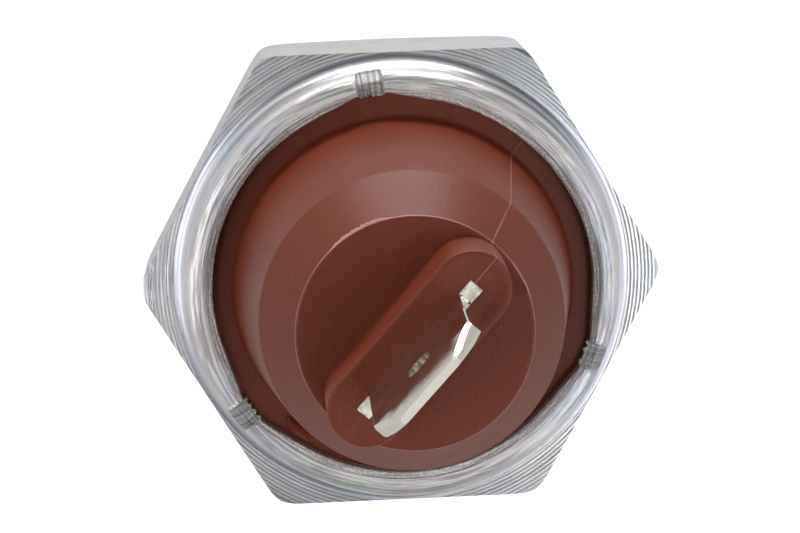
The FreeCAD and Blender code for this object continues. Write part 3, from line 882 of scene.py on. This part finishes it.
def zinc_material():
    """Bright zinc plate with turning streaks and a faint rainbow cast."""
    nodes = Nodes("zinc_plate")
    radius, z = axis_place(nodes)
    blotch = nodes.noise(420.0, 4.0)
    cast = nodes.noise(150.0, 3.0, distortion=1.2)
    line = turned_noise(nodes, 1.6, 5200.0, 4.0, 0.6)
    hair = turned_noise(nodes, 9.0, 14000.0, 2.0)
    tint = nodes.ramp(cast, [
        (0.30, (0.70, 0.80, 0.82)),
        (0.42, (0.74, 0.73, 0.82)),
        (0.50, (0.78, 0.78, 0.77)),
        (0.58, (0.80, 0.75, 0.78)),
        (0.68, (0.74, 0.81, 0.72)),
    ])
    dull = nodes.mix(nodes.limits(blotch, 0.35, 0.7, 0.0, 0.22), tint, (0.55, 0.55, 0.55))

    # the fillet under the collar has a lilac cast, and the sheared band inside the lip is grey
    above = nodes.past(z, 8.1, 8.3)
    under = nodes.short_of(z, 8.1, 8.3)
    fillet = nodes.times(nodes.short_of(radius, 11.9, 12.0), under, nodes.past(radius, 11.62, 11.7))
    dull = nodes.mix(nodes.times(fillet, 0.75), dull, (0.46, 0.49, 0.58))
    band = nodes.times(nodes.short_of(radius, 10.1, 10.3), above)
    pits = nodes.noise(7500.0, 3.0)
    grey = nodes.mix(nodes.limits(pits, 0.38, 0.58), (0.45, 0.45, 0.445), (0.82, 0.82, 0.80))
    colour = nodes.mix(nodes.times(band, 0.75), dull, grey)

    # the pressed floor of a stake mark is darker, with coarse scrapes
    marks = [radial_mark(nodes, degrees, STAKE_HALF - 0.04, STAKE_HALF + 0.04) for degrees in STAKE_ANGLES]
    anywhere = nodes.maths("ADD", nodes.maths("ADD", marks[0], marks[1]), marks[2])
    pressed = nodes.times(nodes.past(z, 8.5, 8.6), anywhere)
    scrape = turned_noise(nodes, 95.0, 700.0, 4.0, 0.7)
    scraped = nodes.mix(nodes.limits(scrape, 0.4, 0.62), (0.18, 0.18, 0.18), (0.66, 0.66, 0.64))
    colour = nodes.mix(nodes.times(pressed, 0.85), colour, scraped)

    # dark scratches run round the lip, most of them on its inner half
    scratch = turned_noise(nodes, 3.5, 9000.0, 3.0, 0.6)
    lip_share = nodes.times(nodes.limits(radius, 10.75 * MM, 11.15 * MM, 0.6, 0.2), above)
    scratched = nodes.times(nodes.limits(scratch, 0.40, 0.54, 1.0, 0.0), lip_share)
    colour = nodes.mix(scratched, colour, (0.14, 0.14, 0.14))

    # the hollows of the turning grooves on the face of the hexagon are painted darker, a painted shade
    groove = nodes.maths("SINE", nodes.times(radius, 2 * math.pi / (GROOVE_SPACING * MM)))
    face = nodes.past(z, HEX_TOP - 0.06, HEX_TOP - 0.03)
    beyond = nodes.past(radius, 11.95, 12.0)
    groove_shade = nodes.times(nodes.limits(groove, -0.3, 0.9, 0.5, 0.0), face, beyond, under)
    colour = nodes.mix(groove_shade, colour, (0.16, 0.17, 0.17))

    # the inner half of the lip and the marks are matte, and the face of the hexagon is glossier
    satin = nodes.limits(line, 0.3, 0.75, 0.34, 0.5)
    satin = nodes.maths("SUBTRACT", satin, nodes.times(under, 0.1))
    inward = nodes.times(nodes.short_of(radius, 10.3, 10.8), above)
    matte = nodes.maths("MAXIMUM", inward, pressed)
    rough = nodes.maths("ADD", satin, nodes.times(matte, 0.14))
    metallic = nodes.maths("SUBTRACT", 1.0, nodes.times(matte, 0.5))
    nodes.set(Base_Color=colour, Metallic=metallic, Roughness=rough)
    shear = turned_noise(nodes, 170.0, 300.0, 3.0)
    share = nodes.maths("MULTIPLY_ADD", above, 0.8, 0.2)
    bump = nodes.bump(nodes.times(line, share), 0.6, 0.0001)
    bump = nodes.bump(nodes.times(hair, share), 0.7, 0.00005, bump)
    bump = nodes.bump(nodes.times(shear, band), 0.6, 0.00008, bump)
    bump = nodes.bump(nodes.times(scrape, pressed), 0.8, 0.0001, bump)
    nodes.join(nodes.bump(blotch, 0.15, 0.00005, bump), nodes.shader.inputs["Normal"])
    return nodes.material


def plastic_material():
    """Red-brown moulded plastic with a soft satin gloss."""
    nodes = Nodes("brown_plastic")
    cloud = nodes.noise(260.0, 4.0)
    glint_speck = nodes.noise(8000.0, 2.0)
    colour = nodes.mix(cloud, (0.155, 0.027, 0.0105), (0.185, 0.034, 0.0135))
    # pale specks painted into the colour, painted glints
    pale = nodes.limits(glint_speck, 0.62, 0.74, 0.0, 0.2)
    colour = nodes.mix(pale, colour, (0.42, 0.19, 0.14))

    # thin flash stands pale and frayed off the plateau's edge, and the moulding line is painted lighter, a
    # painted highlight on its ridge
    radius, z = axis_place(nodes)
    flash = nodes.times(
        nodes.past(radius, PLATEAU + 0.035, PLATEAU + 0.07),
        nodes.past(z, PLATEAU_Z - 0.12, PLATEAU_Z - 0.07),
        nodes.short_of(z, PLATEAU_Z + 0.2, PLATEAU_Z + 0.3))
    colour = nodes.mix(nodes.times(flash, 0.75), colour, (0.72, 0.46, 0.40))
    # painted highlight: a lighter line out from the axis along the moulding line
    seam = radial_mark(nodes, MOULD_LINES[0], 0.015, 0.05)
    seam = nodes.times(seam, nodes.limits(nodes.noise(900.0, 2.0), 0.35, 0.6, 0.2, 0.6))
    nodes.set(
        Base_Color=nodes.mix(seam, colour, (0.42, 0.20, 0.15)),
        Roughness=nodes.limits(cloud, 0.3, 0.7, 0.38, 0.46),
        Specular_IOR_Level=0.3,
        Subsurface_Weight=0.3,
        Subsurface_Radius=(1.0, 0.22, 0.08),
        Subsurface_Scale=0.0007,
    )
    grain = nodes.noise(5200.0, 3.0)
    nodes.join(nodes.bump(grain, 0.4, 0.00004), nodes.shader.inputs["Normal"])
    return nodes.material


def tin_material():
    """Bright tin plate with fine rolling marks, rougher where it was sheared or stamped."""
    nodes = Nodes("tin_plate")
    cloud = nodes.noise(700.0, 4.0)
    radius, z = axis_place(nodes)
    half_width = TAB_WIDTH / 2
    sheared = nodes.past(z, TAB_TIP - 0.07, TAB_TIP - 0.02)
    beside = nodes.past(radius, half_width + 0.04, half_width + 0.08)
    stamped = nodes.times(nodes.short_of(z, BOSS_TOP + 0.5, BOSS_TOP + 0.7), beside)
    slanted = nodes.times(nodes.past(z, TAB_TIP - 2.1, TAB_TIP - 1.8), nodes.past(radius, 1.9, 2.3), 0.5)
    worked = nodes.maths("MAXIMUM", nodes.maths("MAXIMUM", sheared, stamped), slanted)
    gloss = nodes.limits(cloud, 0.3, 0.7, 0.1, 0.2)
    nodes.set(
        Base_Color=nodes.mix(cloud, (0.74, 0.70, 0.62), (0.84, 0.81, 0.74)),
        Metallic=nodes.maths("SUBTRACT", 1.0, nodes.times(stamped, 0.4)),
        Roughness=nodes.maths("ADD", gloss, nodes.times(worked, 0.4)),
    )
    nodes.join(nodes.bump(nodes.noise(3000.0, 3.0), 0.2, 0.00003), nodes.shader.inputs["Normal"])
    return nodes.material


def metal_material(name, dark, light, rough):
    """Plain stamped or drawn metal with a little cloudiness."""
    nodes = Nodes(name)
    cloud = nodes.noise(600.0, 4.0)
    nodes.set(
        Base_Color=nodes.mix(cloud, dark, light),
        Metallic=1.0,
        Roughness=nodes.limits(cloud, 0.3, 0.7, rough - 0.08, rough + 0.1),
    )
    nodes.join(nodes.bump(nodes.noise(2500.0, 2.0), 0.2, 0.00003), nodes.shader.inputs["Normal"])
    return nodes.material


def dull_material(name, dark, light, rough):
    """Rubber, film or plain plastic with a fine grain."""
    nodes = Nodes(name)
    cloud = nodes.noise(500.0, 3.0)
    nodes.set(
        Base_Color=nodes.mix(cloud, dark, light),
        Roughness=nodes.limits(cloud, 0.3, 0.7, rough - 0.06, rough + 0.06),
    )
    nodes.join(nodes.bump(nodes.noise(1500.0, 3.0), 0.25, 0.00004), nodes.shader.inputs["Normal"])
    return nodes.material


def wear(piece, material):
    """Give a piece one material."""
    piece.data.materials.clear()
    piece.data.materials.append(material)


def dress_node(node, material):
    """Give a CAD node a finished material in its own slots."""
    piece = bpy.data.objects[node] if node in bpy.data.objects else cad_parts[node]
    if not piece.material_slots:
        piece.data.materials.append(material)
    for place in piece.material_slots:
        place.material = material


# Build the pieces and tie them to the frame

zinc = zinc_material()
brown = plastic_material()
tin = tin_material()
brass = metal_material("contact_brass", (0.60, 0.42, 0.18), (0.75, 0.56, 0.28), 0.3)
wire_steel = metal_material("spring_wire", (0.38, 0.38, 0.39), (0.55, 0.55, 0.56), 0.3)
rubber = dull_material("gasket_rubber", (0.018, 0.018, 0.02), (0.03, 0.03, 0.032), 0.65)
film = dull_material("diaphragm_film", (0.50, 0.24, 0.04), (0.62, 0.33, 0.07), 0.3)
pale = dull_material("plunger_plastic", (0.66, 0.63, 0.54), (0.76, 0.73, 0.65), 0.45)

REPLACEMENTS = [
    (build_housing, "hex_housing", "zinc_steel", zinc),
    (build_cap, "insulator", "brown_plastic", brown),
    (build_blade, "blade_terminal", "tinned_brass", tin),
    (build_spring, "contact_spring", "spring_steel", wire_steel),
    (build_diaphragm, "diaphragm", "amber_film", film),
]
made = {}
for build, node, slot, material in REPLACEMENTS:
    piece = build()
    wear(piece, material)
    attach(piece, ROOT_BODY)
    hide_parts(node)
    made[node] = piece

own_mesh(made["contact_spring"])
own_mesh(made["diaphragm"])

for node, material in (
        ("oil_gasket", rubber), ("flange_gasket", rubber), ("contact_ring", brass),
        ("contact_disc", brass), ("spring_seat", brass), ("plunger", pale)):
    dress_node(node, material)


# Floor, light and camera

# How bright the floor looks by itself, to the camera and in reflections.
FLOOR_SEEN = 0.85
FLOOR_GLOW = 0.15

# How bright the world is at each height of the view, from level to overhead.
WORLD_GLOW = [(0.0, 0.45), (0.35, 0.12), (0.7, 0.1), (0.95, 0.15)]

# A low lamp close behind the object gives the cap its pale upper highlight.
NEAR_GLOW = 12.0
NEAR_PLACE = Vector((0.0, 0.095, 0.0))
NEAR_FACING = Vector((0.0, -1.0, 0.15))
NEAR_WIDTH = 0.075
NEAR_HEIGHT = 0.02

# The dark patch round the lens: where it is, and where it starts to fade and ends, in degrees.
LENS_TILT = 11.0
LENS_BEARING = 110.0
LENS_CORE = 15.0
LENS_EDGE = 28.0

# Three rings of lamps on a dome. Each glow is for one lamp, evenly spaced round from +X.
LOW_GLOWS = [0.5, 0.1, 0.6, 0.7, 0.6, 0.2, 0.0, 0.4]
MIDDLE_GLOWS = [1.0, 0.0, 0.4, 0.3, 1.7, 0.5, 0.1, 1.3]
HIGH_GLOWS = [2.6, 0.0, 0.0, 0.0, 3.6, 0.0, 0.1, 2.2]
# name, elevation, width and height in degrees, glows
RINGS = [
    ("low", 10.0, 42.0, 20.0, LOW_GLOWS),
    ("middle", 34.0, 40.0, 26.0, MIDDLE_GLOWS),
    ("high", 64.0, 24.0, 20.0, HIGH_GLOWS),
]


def direction(tilt, bearing):
    """Unit vector tilted from straight up towards a bearing from +X, in degrees."""
    lean = math.radians(tilt)
    turn = math.radians(bearing)
    return Vector((math.sin(lean) * math.cos(turn), math.sin(lean) * math.sin(turn), math.cos(lean)))


def build_floor():
    """Plain white floor under the tip of the thread."""
    bm = bmesh.new()
    bmesh.ops.create_grid(bm, x_segments=1, y_segments=1, size=1.5)
    mesh = bpy.data.meshes.new("floor")
    bm.to_mesh(mesh)
    bm.free()
    floor = link("floor", mesh)
    floor.location.z = cad_low.z - 0.0002
    nodes = Nodes("floor_white")
    nodes.set(Base_Color=(0.6, 0.6, 0.6), Roughness=0.7)
    path = nodes.add("ShaderNodeLightPath")
    seen = nodes.times(path.outputs["Is Camera Ray"], FLOOR_SEEN)
    mirrored = nodes.maths("MAXIMUM", path.outputs["Is Glossy Ray"], path.outputs["Is Transmission Ray"])
    glow = nodes.maths("MAXIMUM", seen, nodes.times(mirrored, FLOOR_GLOW))
    nodes.shader.inputs["Emission Color"].default_value = (1.0, 1.0, 1.0, 1.0)
    nodes.join(glow, nodes.shader.inputs["Emission Strength"])
    wear(floor, nodes.material)


def build_world():
    """Pale world that darkens overhead, with a dark patch where the photograph's lens was."""
    world = bpy.data.worlds.new("studio")
    bpy.context.scene.world = world
    world.use_nodes = True
    tree = world.node_tree
    tree.nodes.clear()
    output = tree.nodes.new("ShaderNodeOutputWorld")
    back = tree.nodes.new("ShaderNodeBackground")
    place = tree.nodes.new("ShaderNodeTexCoord")
    split = tree.nodes.new("ShaderNodeSeparateXYZ")
    ramp = tree.nodes.new("ShaderNodeValToRGB")
    tree.links.new(place.outputs["Generated"], split.inputs[0])
    tree.links.new(split.outputs[2], ramp.inputs["Fac"])
    stops = ramp.color_ramp.elements
    while len(stops) < len(WORLD_GLOW):
        stops.new(0.5)
    for stop, (height, glow) in zip(stops, WORLD_GLOW):
        stop.position = height
        stop.color = (glow, glow, glow, 1.0)
    # the nearer a direction lies to the lens, the darker it is
    towards = tree.nodes.new("ShaderNodeVectorMath")
    towards.operation = "DOT_PRODUCT"
    tree.links.new(place.outputs["Generated"], towards.inputs[0])
    towards.inputs[1].default_value = direction(LENS_TILT, LENS_BEARING)
    dark = tree.nodes.new("ShaderNodeMapRange")
    tree.links.new(towards.outputs["Value"], dark.inputs["Value"])
    dark.inputs["From Min"].default_value = math.cos(math.radians(LENS_EDGE))
    dark.inputs["From Max"].default_value = math.cos(math.radians(LENS_CORE))
    dark.inputs["To Min"].default_value = 1.0
    dark.inputs["To Max"].default_value = 0.05
    tree.links.new(ramp.outputs["Color"], back.inputs["Color"])
    tree.links.new(dark.outputs[0], back.inputs["Strength"])
    white = tree.nodes.new("ShaderNodeBackground")
    white.inputs["Color"].default_value = (1.0, 1.0, 1.0, 1.0)
    path = tree.nodes.new("ShaderNodeLightPath")
    mix = tree.nodes.new("ShaderNodeMixShader")
    tree.links.new(path.outputs["Is Camera Ray"], mix.inputs[0])
    tree.links.new(back.outputs[0], mix.inputs[1])
    tree.links.new(white.outputs[0], mix.inputs[2])
    tree.links.new(mix.outputs[0], output.inputs["Surface"])


def panel_light(name, place, facing, width, height, glow):
    """A soft rectangular lamp that looks as bright as its glow, where 1 is white."""
    data = bpy.data.lights.new(name, "AREA")
    data.shape = "RECTANGLE"
    data.size = width
    data.size_y = height
    data.energy = glow * math.pi * width * height
    lamp = bpy.data.objects.new(name, data)
    bpy.context.scene.collection.objects.link(lamp)
    lamp.location = place
    lamp.rotation_euler = facing.to_track_quat("-Z", "Y").to_euler()
    lamp.visible_camera = False


def dome_lamp(name, azimuth, elevation, width, height, glow):
    """A panel on a dome round the object, with its width and height in degrees."""
    reach = 0.4
    middle = Vector((0, 0, 0.012))
    turn = math.radians(azimuth)
    rise = math.radians(elevation)
    outward = Vector((math.cos(turn) * math.cos(rise), math.sin(turn) * math.cos(rise), math.sin(rise)))
    panel_light(name, middle + outward * reach, -outward, 2 * reach * math.tan(math.radians(width / 2)),
                2 * reach * math.tan(math.radians(height / 2)), glow)


def build_camera():
    """Camera at the photograph's viewing angle, fitted to its circles and hexagon."""
    tilt = 11.07
    bearing = 102.8
    roll = math.radians(-1.95)
    distance = 0.135
    photo_width = 800.0
    focal_pixels = 2567.0
    target = Vector((-0.00003, 0.00067, HEX_TOP * MM))
    away = direction(tilt, bearing)
    right = (-away).cross(Vector((0, 1, 0))).normalized()
    up = right.cross(-away)
    turned_right = math.cos(roll) * right + math.sin(roll) * up
    turned_up = -math.sin(roll) * right + math.cos(roll) * up
    data = bpy.data.cameras.new("camera")
    data.sensor_width = 36.0
    data.lens = focal_pixels / photo_width * data.sensor_width
    data.clip_start = 0.001
    camera = bpy.data.objects.new("camera", data)
    bpy.context.scene.collection.objects.link(camera)
    rotation = Matrix((turned_right, turned_up, away)).transposed()
    camera.matrix_world = Matrix.Translation(target + away * distance) @ rotation.to_4x4()
    bpy.context.scene.camera = camera


build_floor()
build_world()
for ring_name, elevation, width, height, glows in RINGS:
    for step, glow in enumerate(glows):
        if glow > 0:
            dome_lamp(f"{ring_name}_{step}", 360.0 * step / len(glows), elevation, width, height, glow)
panel_light("near_panel", NEAR_PLACE, NEAR_FACING, NEAR_WIDTH, NEAR_HEIGHT, NEAR_GLOW)
build_camera()
bpy.context.scene.view_settings.view_transform = "Standard"
